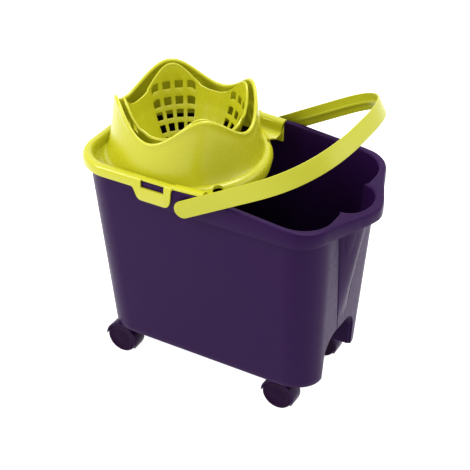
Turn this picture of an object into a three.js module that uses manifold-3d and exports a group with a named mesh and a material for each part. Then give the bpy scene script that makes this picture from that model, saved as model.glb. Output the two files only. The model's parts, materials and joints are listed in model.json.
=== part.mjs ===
// Household mop bucket with a pouring spout, a clip-on basket wringer, a bail handle and
// four twin-wheel casters. Millimetres, +Z up. +X points to the spout, the wringer covers the
// -X half. The plan is drawn from a point between the handle pivots and the tower, and the whole
// group is moved at the end: the origin then lies on the floor under the bounding box's centre.
import * as THREE from 'three';
import { mergeVertices } from 'three/addons/utils/BufferGeometryUtils.js';
import Module from 'manifold-3d';

const wasm = await Module();
wasm.setup();

// ---- driving dimensions ----
const CENTRE_X = 31.7; // plan x of the bounding box centre

// bucket walls, measured outside at the datum height, and their draft per mm of height
const WALL = 2.7;
const DATUM_Z = 284;
const SIDE_HALF = 105.7;
const END_LEFT = -152.7;
const END_RIGHT = 190;
const CORNER_R = 46;
const SIDE_DRAFT = 0.1;
const LEFT_DRAFT = 0.061;
const RIGHT_DRAFT = 0.052;
const FOOT_Z = 47;
const FLOOR_UNDER = 68;
const FLOOR_TOP = 71;
const FAR = 300; // beyond every face of the object, for cutting blocks

// spout lobe on the end wall: it starts at LOBE_START and grows toward the rim
const LOBE_START = 130;
const LOBE_GROWTH = 0.124;
const LOBE_HALF = 38;
const LOBE_NARROWING = 0.162;
const LOBE_GROOVE = 3;
const LOBE_EDGE = 3;

// hand-hold arch under the spout end
const ARCH_HALF = 42;
const ARCH_TOP = 107;
const ARCH_R = 28;
const ARCH_DEPTH_X = 125;

// rim: level over the wringer half, then falling toward the spout
const RIM_TOP = 323;
const RIM_FALL_FROM = 50;
const RIM_FALL = 0.09;
const RIM_HALF = 115.5;
const RIM_LEFT = -159.5;
const RIM_CORNER = 53;
const RIM_SHEET = 2.6;
const BAND_BOTTOM = 291;
const BAND_LEFT = -58;
const LEDGE_BOTTOM = 317;

// wringer housing: a deck with a bead over the rim, and a round tower with a four-lobed crown
const TOWER_X = -54;
const ROUND_SIDES = 40;
const CREST_MEAN = 381;
const CREST_WAVE = 17;
const TOWER_BASE = 312;
const SHEET = 2.6;
const BEAD_TOP = 326.5;
const BEAD_HALF = 118.5;
const BEAD_SKIRT = 312.5;
const BEAD_RIGHT = 40;
const WELL_HALF = 104.9;
const WELL_LEFT = -150.9;
const RIM_CLEARANCE = 0.4;
const NOTCH = { y: 71, radius: 8.5 }; // the two round notches in the deck's free edge
const TAB = { left: -50.5, right: -14, bottom: 295.5, slotLow: 314.5 };
const RECESS = [[-5, 114.3], [40, 109.3]]; // edge of the bead beside the handle: x and half width
const SHOULDER_R = 114;
const SHOULDER_BOTTOM = 302;
const SHOULDER_DIP = { depth: 6.4, from: 8, to: 18 }; // deeper middle of its edge, degrees each way

// wringer basket
const BASKET_SHEET = 2.4;
const BASKET_CREST = 379;
const PETAL_SHARPNESS = 1.5; // the basket's lobes are narrower than the tower's
const BASKET_BOTTOM = 276;
const HOOK_Z = 346; // underside of the four hooks that hang the basket on the tower's brackets
const HOOK_WIDTH = 14;
const HOOK_OUT = 93;
const BRACKET_IN = 87;
const WINDOW_DEGREES = 8.4;
const WINDOW_ROWS = [[366, 10.5], [344.5, 10.5], [328, 9.5], [312.5, 9], [298.5, 8]]; // height, size
const TOP_CORNER_WINDOW = [361.5, 7];
const WINDOW_COLUMNS = [-19.5, -6.5, 6.5, 19.5]; // degrees from the middle of a lobe
const DRAIN_R = 5;
const DRAIN_CIRCLE = 19;
const VALLEYS = [0, 90, 180, 270].map((degrees) => THREE.MathUtils.degToRad(degrees));

// bail handle, drawn in its own plane: s runs from the pivot to the crown of the bail
const PIVOT = { x: 14.2, z: 304.1 };
const BAIL_ANGLE = 29.7;
const BAIL_OUT = 123.5;
const BAIL_SHEET = 2.6;
const BAIL_BAND = 23.4;
const BAIL_REACH = 209.7;
const BAIL_STRAIGHT = 101.6;
const BAIL_POWER = 2.76;
const BAIL_RIB = { from: 45, depth: 3.4, width: 3 };
const STUD_R = 4;
const STUD_IN = 107.5;
const BOSS_R = 9;
const STUD_CLEARANCE = 0.35;

// casters
const WHEEL_R = 22;
const WHEEL_SIDES = 24;
const WHEEL_W = 7;
const WHEEL_GAP = 4.7;
const TRAIL = -7; // x of the axle from the swivel axis
const CASTER_Y = 65;
const CASTER_X = { spout: 135, wringer: -113 };
const HOOD_R = 24.3;
const HOOD_SHEET = 1.5;
const HOOD_HALF_W = 12;
const HOOD_ARC = [-38, 158].map(THREE.MathUtils.degToRad); // from the trailing skirt to the front lip
const AXLE_R = 2;
const STEM_R = 4.5;
const SPIGOT_R = 2.5;
const SOCKET_R = 6.5;
const SOCKET_WALL = 2.4;

const purple = new THREE.MeshStandardMaterial({ color: 0x3c2352, roughness: 0.42, metalness: 0 });
const lime = new THREE.MeshStandardMaterial({ color: 0xc8cc2c, roughness: 0.38, metalness: 0 });
const darkPurple = new THREE.MeshStandardMaterial({ color: 0x2d0f3c, roughness: 0.45, metalness: 0 });
const steel = new THREE.MeshStandardMaterial({ color: 0xb0b2b5, roughness: 0.35, metalness: 1 });

// ---- helpers ----

/** Signed volume of an indexed mesh, negative when its faces point inward. */
function signedVolume(positions, index) {
  const a = new THREE.Vector3();
  const b = new THREE.Vector3();
  const c = new THREE.Vector3();
  let volume = 0;
  for (let i = 0; i < index.length; i += 3) {
    a.fromArray(positions, 3 * index[i]);
    b.fromArray(positions, 3 * index[i + 1]);
    c.fromArray(positions, 3 * index[i + 2]);
    volume += a.dot(b.cross(c)) / 6;
  }
  return volume;
}

/** Turns a closed three.js geometry into a manifold solid with its faces pointing out. */
function solid(geometry) {
  const bare = geometry.clone();
  for (const name of Object.keys(bare.attributes)) {
    if (name !== 'position') bare.deleteAttribute(name);
  }
  const merged = mergeVertices(bare, 1e-4);
  const positions = merged.attributes.position.array;
  const triangles = [];
  for (let i = 0; i < merged.index.count; i += 3) {
    const [a, b, c] = [0, 1, 2].map((k) => merged.index.getX(i + k));
    if (a !== b && b !== c && c !== a) triangles.push(a, b, c);
  }
  if (signedVolume(positions, triangles) < 0) triangles.reverse();
  return new wasm.Manifold(new wasm.Mesh({
    numProp: 3,
    vertProperties: new Float32Array(positions),
    triVerts: new Uint32Array(triangles),
  }));
}

/** Makes the named mesh of a finished solid. */
function meshOf(name, body, material) {
  const { vertProperties, triVerts } = body.getMesh();
  const geometry = new THREE.BufferGeometry();
  geometry.setAttribute('position', new THREE.BufferAttribute(vertProperties, 3));
  geometry.setIndex(new THREE.BufferAttribute(triVerts, 1));
  geometry.computeVertexNormals();
  const mesh = new THREE.Mesh(geometry, material);
  mesh.name = name;
  return mesh;
}

/** Moves every vertex of a geometry with move(vector). */
function warp(geometry, move) {
  const position = geometry.attributes.position;
  const v = new THREE.Vector3();
  for (let i = 0; i < position.count; i += 1) {
    v.fromBufferAttribute(position, i);
    move(v);
    position.setXYZ(i, v.x, v.y, v.z);
  }
  return geometry;
}

/** Straight prism of a plan shape between two heights. */
function prism(shape, low, high) {
  const options = { depth: high - low, bevelEnabled: false, curveSegments: 7 };
  return solid(new THREE.ExtrudeGeometry(shape, options).translate(0, 0, low));
}

/** Prism of a shape drawn in the XZ plane, from one y to another. */
function sidePrism(shape, yLow, yHigh, curveSegments = 8) {
  const options = { depth: yHigh - yLow, bevelEnabled: false, curveSegments };
  const geometry = new THREE.ExtrudeGeometry(shape, options);
  return solid(geometry.rotateX(Math.PI / 2).translate(0, yHigh, 0));
}

/** Axis-aligned block from its lowest corner to its highest. */
function block(low, high) {
  const size = high.map((value, i) => value - low[i]);
  const middle = high.map((value, i) => (value + low[i]) / 2);
  return solid(new THREE.BoxGeometry(...size).translate(...middle));
}

/** Upright cylinder. */
function post(x, y, low, high, radius, sides = 24) {
  const geometry = new THREE.CylinderGeometry(radius, radius, high - low, sides);
  return solid(geometry.rotateX(Math.PI / 2).translate(x, y, (low + high) / 2));
}

/** Cylinder along Y between two y values. */
function crossPin(x, z, yLow, yHigh, radius, sides = 24) {
  const geometry = new THREE.CylinderGeometry(radius, radius, yHigh - yLow, sides);
  return solid(geometry.translate(x, (yLow + yHigh) / 2, z));
}

/** Solid of revolution about the Z axis from [radius, height] pairs. */
function turned(profile, sides) {
  const points = profile.map(([radius, height]) => new THREE.Vector2(radius, height));
  return new THREE.LatheGeometry(points, sides).rotateX(Math.PI / 2);
}

/** Two y values of one side of the object in rising order, for side = -1 or 1. */
function sideSpan(side, a, b) {
  return [side * a, side * b].sort((low, high) => low - high);
}

/** Height or radius read off a list of [key, value] pairs by straight interpolation. */
function readOff(pairs, key) {
  const after = pairs.findIndex(([k]) => k >= key);
  if (after === 0) return pairs[0][1];
  if (after < 0) return pairs[pairs.length - 1][1];
  const [k0, v0] = pairs[after - 1];
  const [k1, v1] = pairs[after];
  return v0 + ((v1 - v0) * (key - k0)) / (k1 - k0);
}

/** Rounded rectangle that runs from x = left, rounded there, to a straight edge at right. */
function halfRound(left, right, half, radius) {
  const shape = new THREE.Shape();
  shape.moveTo(right, -half);
  shape.lineTo(right, half);
  shape.lineTo(left + radius, half);
  shape.absarc(left + radius, half - radius, radius, Math.PI / 2, Math.PI, false);
  shape.lineTo(left, radius - half);
  shape.absarc(left + radius, radius - half, radius, Math.PI, 1.5 * Math.PI, false);
  return shape;
}

// ---- bucket ----

/** Plan of the bucket wall at the datum height, moved inward by inset. */
function tubPlan(inset) {
  const half = SIDE_HALF - inset;
  const left = END_LEFT + inset;
  const right = END_RIGHT - inset;
  const radius = CORNER_R - inset;
  const lobe = LOBE_HALF - inset;
  const seat = right - LOBE_GROOVE;
  const reach = LOBE_GROWTH * (DATUM_Z - LOBE_START) + LOBE_GROOVE;
  const shape = new THREE.Shape();
  shape.moveTo(left + radius, -half);
  shape.lineTo(right - radius, -half);
  shape.absarc(right - radius, radius - half, radius, -Math.PI / 2, 0, false);
  shape.lineTo(right, -lobe - LOBE_EDGE);
  shape.lineTo(seat, -lobe);
  shape.absellipse(seat, 0, reach, lobe, -Math.PI / 2, Math.PI / 2, false);
  shape.lineTo(right, lobe + LOBE_EDGE);
  shape.lineTo(right, half - radius);
  shape.absarc(right - radius, half - radius, radius, 0, Math.PI / 2, false);
  shape.lineTo(left + radius, half);
  shape.absarc(left + radius, half - radius, radius, Math.PI / 2, Math.PI, false);
  shape.lineTo(left, radius - half);
  shape.absarc(left + radius, radius - half, radius, Math.PI, 1.5 * Math.PI, false);
  return shape;
}

/** Tapered bucket block between two heights: the wall's outside, or its inside with an inset. */
function tubBlock(inset, low, high) {
  const levels = [low, Math.min(Math.max(LOBE_START, low + 1), high - 1), high];
  const options = { depth: 2, steps: 2, bevelEnabled: false, curveSegments: 8 };
  const geometry = new THREE.ExtrudeGeometry(tubPlan(inset), options);
  const left = END_LEFT + inset;
  const right = END_RIGHT - inset;
  const lobe = LOBE_HALF - inset;
  return solid(warp(geometry, (v) => {
    const z = levels[Math.round(v.z)];
    const rise = z - DATUM_Z;
    const newLeft = left - LEFT_DRAFT * rise;
    const newRight = right + RIGHT_DRAFT * rise;
    const onLobe = v.x > right - LOBE_GROOVE - 0.01 && Math.abs(v.y) < lobe + LOBE_EDGE + 0.01;
    if (onLobe) {
      const growth = Math.max(0, z - LOBE_START) / (DATUM_Z - LOBE_START);
      const beyond = v.x - right;
      v.x = newRight + (beyond > 0 ? beyond * growth : beyond);
      v.y *= (lobe + LOBE_NARROWING * Math.min(rise, 6)) / lobe;
    } else {
      v.x = newLeft + ((v.x - left) * (newRight - newLeft)) / (right - left);
      v.y *= (SIDE_HALF - inset + SIDE_DRAFT * rise) / (SIDE_HALF - inset);
    }
    v.z = z;
  }));
}

/** Outline of the rim: straight sides, round wringer end, bowed spout end. */
function rimPlan(inset) {
  const half = RIM_HALF - inset;
  const left = RIM_LEFT + inset;
  const radius = RIM_CORNER - inset;
  const bow = [[150, 115.5], [168, 113], [182, 104.5], [191, 92], [197, 76], [205, 56], [214, 36],
    [222.5, 16], [226, 0]].map(([x, y]) => new THREE.Vector2(x - inset, y * (half / RIM_HALF)));
  const near = bow.map((p) => new THREE.Vector2(p.x, -p.y));
  const far = bow.slice(0, -1).reverse();
  const shape = new THREE.Shape();
  shape.moveTo(left + radius, -half);
  shape.lineTo(near[0].x, -half);
  for (const p of new THREE.SplineCurve([...near, ...far]).getPoints(24).slice(1)) {
    shape.lineTo(p.x, p.y);
  }
  shape.lineTo(left + radius, half);
  shape.absarc(left + radius, half - radius, radius, Math.PI / 2, Math.PI, false);
  shape.lineTo(left, radius - half);
  shape.absarc(left + radius, radius - half, radius, Math.PI, 1.5 * Math.PI, false);
  return shape;
}

/** Everything above the rim line, lowered by drop. */
function aboveRim(drop) {
  const shape = new THREE.Shape();
  shape.moveTo(-FAR, RIM_TOP - drop);
  shape.lineTo(RIM_FALL_FROM, RIM_TOP - drop);
  shape.lineTo(FAR, RIM_TOP - drop - RIM_FALL * (FAR - RIM_FALL_FROM));
  shape.lineTo(FAR, 2 * RIM_TOP);
  shape.lineTo(-FAR, 2 * RIM_TOP);
  return sidePrism(shape, -FAR, FAR);
}

/** Arch across the spout end, grown by grow for the wall that covers it. */
function archBlock(grow, fromX, toX) {
  const half = ARCH_HALF + grow;
  const top = ARCH_TOP + grow;
  const radius = ARCH_R + grow;
  const shape = new THREE.Shape();
  shape.moveTo(-half, 0);
  shape.lineTo(half, 0);
  shape.lineTo(half, top - radius);
  shape.absarc(half - radius, top - radius, radius, 0, Math.PI / 2, false);
  shape.lineTo(radius - half, top);
  shape.absarc(radius - half, top - radius, radius, Math.PI / 2, Math.PI, false);
  const options = { depth: toX - fromX, bevelEnabled: false, curveSegments: 8 };
  const geometry = new THREE.ExtrudeGeometry(shape, options);
  return solid(geometry.rotateX(Math.PI / 2).rotateZ(Math.PI / 2).translate(fromX, 0, 0));
}

/** Hollow lip around the mouth: top sheet and hanging band. */
function rimLip() {
  const outer = prism(rimPlan(0), BAND_BOTTOM, RIM_TOP + 10).subtract(aboveRim(0));
  const hollow = prism(rimPlan(RIM_SHEET), BAND_BOTTOM - 1, RIM_TOP + 10).subtract(aboveRim(RIM_SHEET));
  const trim = block([-FAR, -FAR, BAND_BOTTOM - 2], [BAND_LEFT, FAR, LEDGE_BOTTOM]);
  return outer.subtract(hollow).subtract(trim);
}

/** Boss that a handle stud turns in, on one side. */
function pivotBoss(side) {
  const ends = sideSpan(side, SIDE_HALF - 1, BAIL_OUT - BAIL_SHEET - 1.2);
  return crossPin(PIVOT.x, PIVOT.z, ...ends, BOSS_R);
}

/** Low catch on the rim that the wringer's snap window closes over, on one side. */
function rimCatch(side) {
  const [low, high] = sideSpan(side, RIM_HALF - 1, RIM_HALF + 0.3);
  return block([TAB.left + 3, low, LEDGE_BOTTOM], [TAB.right - 7, high, RIM_TOP - 2]);
}

/** Round post under the floor around a caster socket, and the bore for the socket in it. */
function socketPost({ x, y }, grow, low, high) {
  return post(x, y, low, high, SOCKET_R + grow, 16);
}

function bucketTub() {
  let body = tubBlock(0, FOOT_Z, RIM_TOP + 8).subtract(aboveRim(0)).add(rimLip());
  for (const side of [-1, 1]) body = body.add(pivotBoss(side)).add(rimCatch(side));
  const archCover = archBlock(WALL, ARCH_DEPTH_X - WALL, FAR);
  const cavity = tubBlock(WALL, FLOOR_TOP, RIM_TOP + 12).subtract(archCover);
  const underside = tubBlock(WALL, FOOT_Z - 5, FLOOR_UNDER);
  body = body.subtract(cavity).subtract(underside).subtract(archBlock(0, ARCH_DEPTH_X, FAR));
  for (const place of casterPlaces()) {
    body = body.add(socketPost(place, SOCKET_WALL, FOOT_Z, FLOOR_UNDER + 1));
    body = body.subtract(socketPost(place, 0.45, FOOT_Z - 5, FLOOR_UNDER - 1.5));
  }
  const hole = crossPin(PIVOT.x, PIVOT.z, -BAIL_OUT, BAIL_OUT, STUD_R + STUD_CLEARANCE);
  return meshOf('bucket_tub', body.subtract(hole), purple);
}

// ---- wringer ----

/** Outside radius of the tower at a height. */
function towerRadius(z) {
  return readOff([[309, 104.4], [312, 104.2], [318, 102.5], [325, 100.5], [335, 98.5], [350, 96],
    [372, 93.5], [398, 91]], z);
}

/** Lobed wall: four peaks on the diagonals, narrowed by sharpness, and four valleys on the axes. */
function crest(angle, mean, sharpness) {
  const peak = (1 - Math.cos(4 * angle)) / 2;
  return mean + CREST_WAVE * (2 * peak ** sharpness - 1);
}

/** Stretches a turned wall so that its top follows the crest and its radius stays on the cone. */
function lobed(geometry, base, top, sharpness, radiusAt) {
  const mean = top - CREST_WAVE;
  return warp(geometry, (v) => {
    const angle = Math.atan2(v.y, v.x);
    const z = base + ((v.z - base) * (crest(angle, mean, sharpness) - base)) / (top - base);
    const newZ = v.z > base ? z : v.z;
    const radius = Math.hypot(v.x, v.y);
    const scale = radius > 1 ? (radius + radiusAt(newZ) - radiusAt(v.z)) / radius : 1;
    v.set(v.x * scale, v.y * scale, newZ);
  });
}

/** Tower wall with a thickened round lip. */
function tower() {
  const top = CREST_MEAN + CREST_WAVE;
  const heights = [TOWER_BASE - SHEET, 325, 350, 392];
  const outside = heights.map((z) => [towerRadius(z), z]);
  const lip = [[91, 396], [89.8, top], [87.6, top], [86.4, 395.5]];
  const inside = heights.map((z) => [towerRadius(z) - SHEET, z]).reverse();
  const profile = [...outside, ...lip, ...inside, outside[0]];
  const wall = lobed(turned(profile, ROUND_SIDES), TOWER_BASE, top, 1, towerRadius);
  return solid(wall.translate(TOWER_X, 0, 0));
}

/** Bar along a radius of the tower: the brackets in the tower and the hooks on the basket. */
function radialBar(angle, from, to, low, high) {
  const box = new THREE.BoxGeometry(to - from, HOOK_WIDTH, high - low);
  box.translate((from + to) / 2, 0, (low + high) / 2);
  return solid(box.rotateZ(angle).translate(TOWER_X, 0, 0));
}

/** Rounded shoulder around the tower foot, which hangs into the bucket on the spout side. */
function shoulder() {
  const r = SHOULDER_R;
  const low = SHOULDER_BOTTOM;
  const profile = [[102, low + 7.4], [102, low + 12.5], [107, low + 12.5], [111, low + 10.8],
    [r - 0.8, low + 7], [r, low], [r - SHEET, low], [r - 3.6, low + 6.6], [104.6, low + 7.4],
    [102, low + 7.4]];
  const { depth, from, to } = SHOULDER_DIP;
  const dipped = warp(turned(profile, ROUND_SIDES), (v) => {
    const angle = Math.abs(THREE.MathUtils.radToDeg(Math.atan2(v.y, v.x)));
    const share = THREE.MathUtils.clamp((to - angle) / (to - from), 0, 1);
    if (v.z < low + 1) v.z -= depth * share;
  });
  const ring = solid(dipped.translate(TOWER_X, 0, 0));
  const bottom = low - depth - 1;
  const keep = prism(halfRound(WELL_LEFT, FAR, WELL_HALF - 0.8, CORNER_R - 3), bottom, RIM_TOP);
  return ring.intersect(keep);
}

/** Plan of the well inside the bucket mouth, moved inward by inset. */
function wellPlan(inset) {
  return halfRound(WELL_LEFT + inset, FAR, WELL_HALF - inset, CORNER_R - 2 - inset);
}

/** Everything outside the well up to a height, from x = left on. */
function outsideWell(top, left = -FAR) {
  return block([left, -FAR, 0], [FAR, FAR, top]).subtract(prism(wellPlan(0), -1, 2 * FAR));
}

/** Arched bead that rides over the bucket rim, with its outer skirt. */
function bead() {
  const outerPlan = halfRound(-BEAD_HALF - 44, BEAD_RIGHT, BEAD_HALF, RIM_CORNER + 3);
  const round = { depth: 20, bevelEnabled: true, bevelThickness: 4, bevelSize: 4, bevelOffset: -4,
    bevelSegments: 3, curveSegments: 8 };
  const rounded = new THREE.ExtrudeGeometry(outerPlan, round).translate(0, 0, BEAD_TOP - 24);
  const squareEnd = block([-FAR, -FAR, 0], [BEAD_RIGHT - 4, FAR, 2 * FAR]);
  const outer = solid(rounded).intersect(squareEnd);
  const gap = RIM_CLEARANCE;
  const rimSpace = halfRound(RIM_LEFT - gap, FAR, RIM_HALF + gap, RIM_CORNER + gap);
  const channel = prism(rimSpace, 0, RIM_TOP + gap).subtract(prism(wellPlan(0), -1, 2 * FAR));
  const pivotRelief = outsideWell(RIM_TOP + gap, TAB.right + 9);
  const underDeck = block([-FAR, -FAR, 0], [FAR, FAR, TOWER_BASE - SHEET]);
  return outer.subtract(prism(wellPlan(SHEET), 0, 2 * FAR)).subtract(channel)
    .subtract(outsideWell(BEAD_SKIRT)).subtract(pivotRelief).subtract(underDeck)
    .subtract(handleRecess(1)).subtract(handleRecess(-1));
}

/** Block that sets the bead's edge back where the handle swings past it, on one side. */
function handleRecess(side) {
  const [[fromX, fromY], [toX, toY]] = RECESS;
  const corners = [[fromX, fromY], [toX, toY], [toX, FAR], [fromX, FAR]];
  const plan = new THREE.Shape(corners.map(([x, y]) => new THREE.Vector2(x, side * y)));
  return prism(plan, 0, 2 * FAR);
}

/** Snap tab that hangs from the skirt, with the window for the bucket's catch. */
function snapTab(side) {
  const shape = new THREE.Shape();
  shape.moveTo(TAB.left - 12, BEAD_SKIRT + 2);
  shape.quadraticCurveTo(TAB.left - 8, BEAD_SKIRT - 1, TAB.left - 6, 303);
  shape.quadraticCurveTo(TAB.left - 4, TAB.bottom + 1, TAB.left + 2, TAB.bottom);
  shape.lineTo(TAB.right - 3, TAB.bottom);
  shape.quadraticCurveTo(TAB.right + 3.5, TAB.bottom, TAB.right + 5.5, 303);
  shape.lineTo(TAB.right + 8.9, 321);
  shape.lineTo(TAB.left - 12, 321);
  return sidePrism(shape, ...sideSpan(side, RIM_HALF + RIM_CLEARANCE, BEAD_HALF), 4);
}

/** Window through a snap tab, open at the top through the edge of the bead. */
function snapWindow(side) {
  const [low, high] = sideSpan(side, RIM_HALF + RIM_CLEARANCE / 2, BEAD_HALF + 5);
  return block([TAB.left + 1, low, TAB.slotLow], [TAB.right - 1.3, high, BEAD_TOP + 2]);
}

/** Deck sheet between the bead and the tower foot. */
function deck() {
  const plan = halfRound(WELL_LEFT, BEAD_RIGHT - 4, WELL_HALF, CORNER_R - 2);
  return prism(plan, TOWER_BASE - SHEET, TOWER_BASE);
}

function wringerHousing() {
  const mouthRadius = towerRadius(TOWER_BASE) - SHEET + 0.4;
  const mouth = post(TOWER_X, 0, 0, 2 * FAR, mouthRadius, ROUND_SIDES);
  const wall = tower().subtract(outsideWell(RIM_TOP + RIM_CLEARANCE));
  let body = deck().add(shoulder()).subtract(mouth).add(bead()).add(wall);
  for (const side of [-1, 1]) {
    const notch = post(BEAD_RIGHT - 3, side * NOTCH.y, BAND_BOTTOM, 2 * FAR, NOTCH.radius, 20);
    body = body.add(snapTab(side)).subtract(snapWindow(side)).subtract(notch);
  }
  for (const angle of VALLEYS) {
    const out = towerRadius(HOOK_Z) - 1;
    body = body.add(radialBar(angle, BRACKET_IN, out, HOOK_Z - 5, HOOK_Z - 0.4));
  }
  return meshOf('wringer_housing', body, lime);
}

/** Outside radius of the basket at a height. */
function basketRadius(z) {
  return readOff([[BASKET_BOTTOM, 32], [286, 40], [299, 49], [313, 57.5], [328, 65.5], [343, 72],
    [362, 76.5], [380, 79.5], [397, 81]], z);
}

/** One square window of the lattice, cut along the radius. */
function latticeCutter(angle, z, height) {
  const radius = basketRadius(z);
  const width = radius * THREE.MathUtils.degToRad(WINDOW_DEGREES);
  const box = new THREE.BoxGeometry(34, width, height);
  return solid(box.translate(radius, 0, z).rotateZ(angle).translate(TOWER_X, 0, 0));
}

/** Heights and sizes of a column's windows; the outer columns' top one is small and low. */
function windowRows(column) {
  const outer = Math.abs(column) > 10;
  return outer ? [TOP_CORNER_WINDOW, ...WINDOW_ROWS.slice(1)] : WINDOW_ROWS;
}

/** All the windows of the basket: a block of columns on each of the four lobes. */
function lattice() {
  const cutters = [];
  for (const lobe of [45, 135, 225, 315]) {
    for (const column of WINDOW_COLUMNS) {
      const angle = THREE.MathUtils.degToRad(lobe + column);
      cutters.push(...windowRows(column).map(([z, height]) => latticeCutter(angle, z, height)));
    }
  }
  return cutters;
}

/** Drain holes in the basket's floor: one in the middle and six around it. */
function drains() {
  const places = [[TOWER_X, 0]];
  for (let i = 0; i < 6; i += 1) {
    const angle = (i * Math.PI) / 3;
    places.push([TOWER_X + DRAIN_CIRCLE * Math.cos(angle), DRAIN_CIRCLE * Math.sin(angle)]);
  }
  return places.map(([x, y]) => post(x, y, BASKET_BOTTOM - 2, BASKET_BOTTOM + 5, DRAIN_R, 12));
}

function wringerBasket() {
  const top = BASKET_CREST + CREST_WAVE;
  const heights = [299, 328, 362];
  const outside = heights.map((z) => [basketRadius(z), z]);
  const inside = heights.map((z) => [basketRadius(z) - BASKET_SHEET, z]).reverse();
  const profile = [[0, BASKET_BOTTOM], [32, BASKET_BOTTOM], ...outside, [81, top], [78.2, top],
    ...inside, [30, BASKET_BOTTOM + BASKET_SHEET], [0, BASKET_BOTTOM + BASKET_SHEET]];
  const wall = lobed(turned(profile, ROUND_SIDES), 300, top, PETAL_SHARPNESS, basketRadius);
  let body = solid(wall.translate(TOWER_X, 0, 0));
  for (const angle of VALLEYS) {
    body = body.add(radialBar(angle, basketRadius(HOOK_Z) - 1.5, HOOK_OUT, HOOK_Z, HOOK_Z + 3));
  }
  for (const cutter of [...lattice(), ...drains()]) body = body.subtract(cutter);
  return meshOf('wringer_basket', body, lime);
}

// ---- bail handle ----

/** Half of an edge of the bail: straight arm, then a superellipse quarter to the crown. */
function bailEdge(from, half, reach) {
  const points = [[from, half], [BAIL_STRAIGHT, half]];
  const steps = 14;
  for (let i = 1; i <= steps; i += 1) {
    const t = (i / steps) * (Math.PI / 2);
    points.push([
      BAIL_STRAIGHT + (reach - BAIL_STRAIGHT) * Math.sin(t) ** (2 / BAIL_POWER),
      half * Math.cos(t) ** (2 / BAIL_POWER),
    ]);
  }
  points[points.length - 1][1] = 0;
  return points;
}

/** Closed U outline between two bail edges, inset by a and b from the outside. */
function bailPlan(from, a, b) {
  const mirror = (points) => points.slice(0, -1).reverse().map(([s, y]) => [s, -y]);
  const outer = bailEdge(from, BAIL_OUT - a, BAIL_REACH - a);
  const inner = bailEdge(from, BAIL_OUT - b, BAIL_REACH - b);
  const loop = [...outer, ...mirror(outer), ...[...inner, ...mirror(inner)].reverse()];
  return new THREE.Shape(loop.map(([s, y]) => new THREE.Vector2(s, y)));
}

/** Slab of a bail plan, centred on the bail's plane and swung up about the pivots. */
function bailSlab(plan, depth) {
  const geometry = new THREE.ExtrudeGeometry(plan, { depth, bevelEnabled: false });
  geometry.translate(0, 0, -depth / 2).rotateY(-THREE.MathUtils.degToRad(BAIL_ANGLE));
  return solid(geometry.translate(PIVOT.x, 0, PIVOT.z));
}

function bailHandle() {
  let body = bailSlab(bailPlan(0, 0, BAIL_SHEET), BAIL_BAND);
  const rib = bailPlan(BAIL_RIB.from, BAIL_SHEET - 0.4, BAIL_SHEET + BAIL_RIB.depth);
  body = body.add(bailSlab(rib, BAIL_RIB.width));
  for (const side of [-1, 1]) {
    const disc = sideSpan(side, BAIL_OUT - BAIL_SHEET, BAIL_OUT);
    const stud = sideSpan(side, STUD_IN, BAIL_OUT - 1);
    body = body.add(crossPin(PIVOT.x, PIVOT.z, ...disc, BAIL_BAND / 2, 32));
    body = body.add(crossPin(PIVOT.x, PIVOT.z, ...stud, STUD_R));
  }
  return meshOf('bail_handle', body, lime);
}

// ---- casters ----

/** The four caster places: swivel axis in plan, and a name for each. */
function casterPlaces() {
  const places = [];
  for (const [end, x] of Object.entries(CASTER_X)) {
    for (const [side, sign] of [['right', -1], ['left', 1]]) {
      places.push({ name: `caster_${end}_${side}`, x, y: sign * CASTER_Y });
    }
  }
  return places;
}

/** Side view of the hood: a band over the wheels, longer on the trailing side. */
function hoodBand() {
  const [from, to] = HOOD_ARC;
  const shape = new THREE.Shape();
  shape.absarc(0, 0, HOOD_R, from, to, false);
  shape.absarc(0, 0, HOOD_R - HOOD_SHEET, to, from, true);
  return sidePrism(shape, -HOOD_HALF_W, HOOD_HALF_W, 14).translate([TRAIL, 0, WHEEL_R]);
}

/** Web between the two wheels, which carries the axle and the stem. */
function hoodWeb() {
  const half = WHEEL_GAP - 0.6;
  const shape = new THREE.Shape();
  shape.absarc(0, 0, HOOD_R - 0.5, ...HOOD_ARC, false);
  shape.lineTo(-9, -5);
  shape.lineTo(0, -9);
  const web = sidePrism(shape, -half, half, 14).translate([TRAIL, 0, WHEEL_R]);
  const turret = post(0, 0, 2 * WHEEL_R + 1, FOOT_Z - 0.5, 8, 16);
  return web.add(turret);
}

function casterHood(name) {
  const body = hoodBand().add(hoodWeb())
    .subtract(crossPin(TRAIL, WHEEL_R, -FAR, FAR, AXLE_R + 0.35, 12))
    .subtract(post(0, 0, 35.7, FAR, SPIGOT_R + 0.3, 12));
  return meshOf(`${name}_hood`, body, purple);
}

/** Swivel stem: thin spigot in the hood, collar, shank with a groove for the grip ring. */
function casterStem(name) {
  const profile = [[0, 36], [SPIGOT_R, 36], [SPIGOT_R, 46.8], [STEM_R, 46.8], [STEM_R, 56.6],
    [3.4, 57], [3.4, 61.4], [STEM_R, 61.8], [STEM_R, 63.6], [3.4, 65], [0, 65]];
  return meshOf(`${name}_stem`, solid(turned(profile, 14)), steel);
}

/** Split spring ring that sits in the stem groove and grips the socket. */
function casterRing(name) {
  const profile = [[3.7, 57.4], [4.7, 57.4], [4.7, 61], [3.7, 61], [3.7, 57.4]];
  const gap = block([0, -1.2, 50], [10, 1.2, 70]);
  return meshOf(`${name}_grip_ring`, solid(turned(profile, 14)).subtract(gap), steel);
}

/** Sleeve pressed into the bucket boss, with a flange under the foot. */
function casterSocket(name) {
  const profile = [[STEM_R + 0.5, 47.1], [SOCKET_R, 47.1], [SOCKET_R, 66.2], [0, 66.2], [0, 65.3],
    [STEM_R + 0.5, 65.3], [STEM_R + 0.5, 47.1]];
  return meshOf(`${name}_socket`, solid(turned(profile, 16)), darkPurple);
}

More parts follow.
